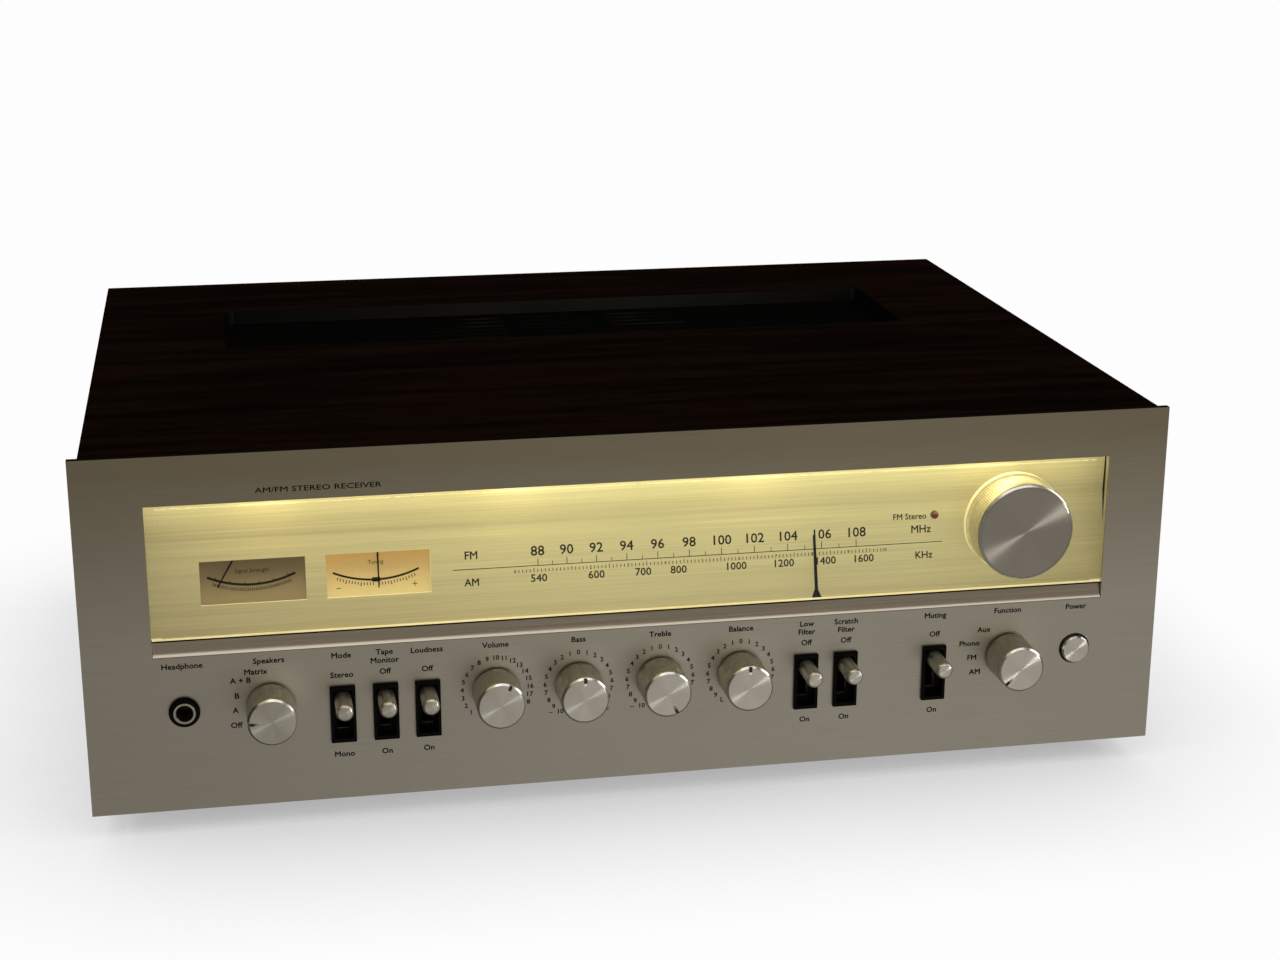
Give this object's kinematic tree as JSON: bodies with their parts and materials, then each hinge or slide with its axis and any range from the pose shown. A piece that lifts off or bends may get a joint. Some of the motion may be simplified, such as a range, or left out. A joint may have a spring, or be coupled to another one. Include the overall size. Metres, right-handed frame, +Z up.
{
  "type": "stereo receiver",
  "caption": "Wide wood-cased AM/FM stereo receiver with a brushed faceplate, lit slide-rule dial, signal and tuning meters, rotary knobs, slide levers and a push button.",
  "frame": {"origin": "centre of the bounding box in plan, on the plane the feet stand on", "axes": "+X to the right seen from the front, +Y from the faceplate towards the back, +Z up"},
  "size_m": [0.45, 0.362, 0.1596],
  "materials": {
    "walnut": "dark oiled walnut veneer",
    "satin_panel": "fine brushed, champagne anodised",
    "turned_metal": "turned, bright edges",
    "clear_acrylic": "clear, polished edges",
    "dial_paint": "satin cream-gold paint",
    "meter_card": "matt card white",
    "lamp_glass": "clear tubular lamps",
    "red_jewel": "dark red, gloss",
    "black_plastic": "black moulded",
    "black_paint": "satin black paint",
    "zinc_steel": "zinc plated sheet",
    "machined_steel": "machined",
    "nylon": "natural nylon",
    "cord_fibre": "braided dial cord",
    "phenolic": "brown laminate",
    "nickel": "nickel plate",
    "core_steel": "varnished laminations",
    "heat_sink_black": "black anodised",
    "capacitor_blue": "blue sleeve",
    "board_green": "solder mask",
    "rubber": "black"
  },
  "bodies": {
    "body": {"chassis": "zinc_steel", "rear_panel": "black_paint", "front_bracket": "zinc_steel", "faceplate": "satin_panel", "window_sill": "turned_metal", "dial_lens": "clear_acrylic", "dial_plate": "dial_paint", "dial_lamps": "lamp_glass", "stereo_lamp": "red_jewel", "meter_cases": "black_plastic", "meter_scales": "meter_card", "dial_cord": "cord_fibre", "tuning_capacitor": "zinc_steel", "rotary_switches": "phenolic", "control_pots": "zinc_steel", "switch_bezels": "black_plastic", "switch_bodies": "zinc_steel", "headphone_jack": "black_plastic", "cabinet_cover": "walnut", "vent_grille": "black_paint", "feet": "rubber", "power_transformer": "core_steel", "heat_sink": "heat_sink_black", "filter_capacitors": "capacitor_blue", "circuit_boards": "board_green", "rear_jacks": "nickel", "rear_terminals": "black_plastic", "antenna_bracket": "black_plastic", "power_cord": "rubber", "screws": "black_paint"},
    "tuning_control": {"tuning_knob": "turned_metal", "tuning_shaft": "machined_steel", "flywheel": "machined_steel"},
    "dial_pointer": {"dial_pointer": "black_plastic"},
    "dial_drum": {"dial_drum": "nylon", "capacitor_rotor": "machined_steel"},
    "left_pulley": {"left_pulley": "nylon"},
    "right_pulley": {"right_pulley": "nylon"},
    "signal_needle": {"signal_needle": "black_paint"},
    "tuning_needle": {"tuning_needle": "black_paint"},
    "power_button": {"power_button": "turned_metal"},
    "am_antenna": {"am_antenna": "black_plastic"},
    "speakers_control": {"speakers_knob": "turned_metal", "speakers_shaft": "machined_steel"},
    "volume_control": {"volume_knob": "turned_metal", "volume_shaft": "machined_steel"},
    "bass_control": {"bass_knob": "turned_metal", "bass_shaft": "machined_steel"},
    "treble_control": {"treble_knob": "turned_metal", "treble_shaft": "machined_steel"},
    "balance_control": {"balance_knob": "turned_metal", "balance_shaft": "machined_steel"},
    "function_control": {"function_knob": "turned_metal", "function_shaft": "machined_steel"},
    "mode_lever": {"mode_lever": "turned_metal"},
    "tape_monitor_lever": {"tape_monitor_lever": "turned_metal"},
    "loudness_lever": {"loudness_lever": "turned_metal"},
    "low_filter_lever": {"low_filter_lever": "turned_metal"},
    "scratch_filter_lever": {"scratch_filter_lever": "turned_metal"},
    "muting_lever": {"muting_lever": "turned_metal"}
  },
  "joints": [
    {"name": "tuning_turn", "type": "hinge", "parent": "body", "child": "tuning_control", "pos_m": [0.1592, -0.163, 0.1124], "axis": [0, 1, 0], "range_deg": [-2400, 580]},
    {"name": "pointer_slide", "type": "slide", "parent": "body", "child": "dial_pointer", "axis": [1, 0, 0], "range_m": [-0.126, 0.0307]},
    {"name": "drum_turn", "type": "hinge", "parent": "body", "child": "dial_drum", "pos_m": [0.03, -0.132, 0.082], "axis": [0, 1, 0], "range_deg": [-35, 144.2]},
    {"name": "left_pulley_turn", "type": "hinge", "parent": "body", "child": "left_pulley", "pos_m": [-0.07, -0.143, 0.0765], "axis": [0, 1, 0], "range_deg": [-290.5, 1200.5]},
    {"name": "right_pulley_turn", "type": "hinge", "parent": "body", "child": "right_pulley", "pos_m": [0.122, -0.143, 0.0765], "axis": [0, 1, 0], "range_deg": [-290.5, 1200.5]},
    {"name": "signal_needle_swing", "type": "hinge", "parent": "body", "child": "signal_needle", "pos_m": [-0.1565, -0.14747, 0.12327], "axis": [0, -0.9848, 0.1736], "range_deg": [0, 62]},
    {"name": "tuning_needle_swing", "type": "hinge", "parent": "body", "child": "tuning_needle", "pos_m": [-0.1063, -0.14747, 0.12327], "axis": [0, -0.9848, 0.1736], "range_deg": [-30, 30]},
    {"name": "speakers_turn", "type": "hinge", "parent": "body", "child": "speakers_control", "pos_m": [-0.152, -0.163, 0.0528], "axis": [0, 1, 0], "range_deg": [-25, 75]},
    {"name": "volume_turn", "type": "hinge", "parent": "body", "child": "volume_control", "pos_m": [-0.06075, -0.163, 0.0528], "axis": [0, 1, 0], "range_deg": [-175, 125]},
    {"name": "bass_turn", "type": "hinge", "parent": "body", "child": "bass_control", "pos_m": [-0.0265, -0.163, 0.0528], "axis": [0, 1, 0], "range_deg": [-150, 150]},
    {"name": "treble_turn", "type": "hinge", "parent": "body", "child": "treble_control", "pos_m": [0.00775, -0.163, 0.0528], "axis": [0, 1, 0], "range_deg": [-300, 0]},
    {"name": "balance_turn", "type": "hinge", "parent": "body", "child": "balance_control", "pos_m": [0.042, -0.163, 0.0528], "axis": [0, 1, 0], "range_deg": [-150, 150]},
    {"name": "function_turn", "type": "hinge", "parent": "body", "child": "function_control", "pos_m": [0.1592, -0.163, 0.0528], "axis": [0, 1, 0], "range_deg": [0, 90]},
    {"name": "mode_slide", "type": "slide", "parent": "body", "child": "mode_lever", "axis": [0, 0, -1], "range_m": [0, 0.013]},
    {"name": "tape_monitor_slide", "type": "slide", "parent": "body", "child": "tape_monitor_lever", "axis": [0, 0, -1], "range_m": [0, 0.013]},
    {"name": "loudness_slide", "type": "slide", "parent": "body", "child": "loudness_lever", "axis": [0, 0, -1], "range_m": [0, 0.013]},
    {"name": "low_filter_slide", "type": "slide", "parent": "body", "child": "low_filter_lever", "axis": [0, 0, -1], "range_m": [0, 0.013]},
    {"name": "scratch_filter_slide", "type": "slide", "parent": "body", "child": "scratch_filter_lever", "axis": [0, 0, -1], "range_m": [0, 0.013]},
    {"name": "muting_slide", "type": "slide", "parent": "body", "child": "muting_lever", "axis": [0, 0, -1], "range_m": [0, 0.013]},
    {"name": "power_push", "type": "slide", "parent": "body", "child": "power_button", "axis": [0, 1, 0], "range_m": [0, 0.003]},
    {"name": "antenna_swing", "type": "hinge", "parent": "body", "child": "am_antenna", "pos_m": [0.19, 0.173, 0.128], "axis": [0, 0, -1], "range_deg": [0, 90]}
  ],
  "couplings": [
    {"joint": "pointer_slide", "follows": "tuning_turn", "m_per_rad": 0.003},
    {"joint": "drum_turn", "follows": "tuning_turn", "ratio": -0.06},
    {"joint": "left_pulley_turn", "follows": "tuning_turn", "ratio": -0.5},
    {"joint": "right_pulley_turn", "follows": "tuning_turn", "ratio": -0.5}
  ]
}
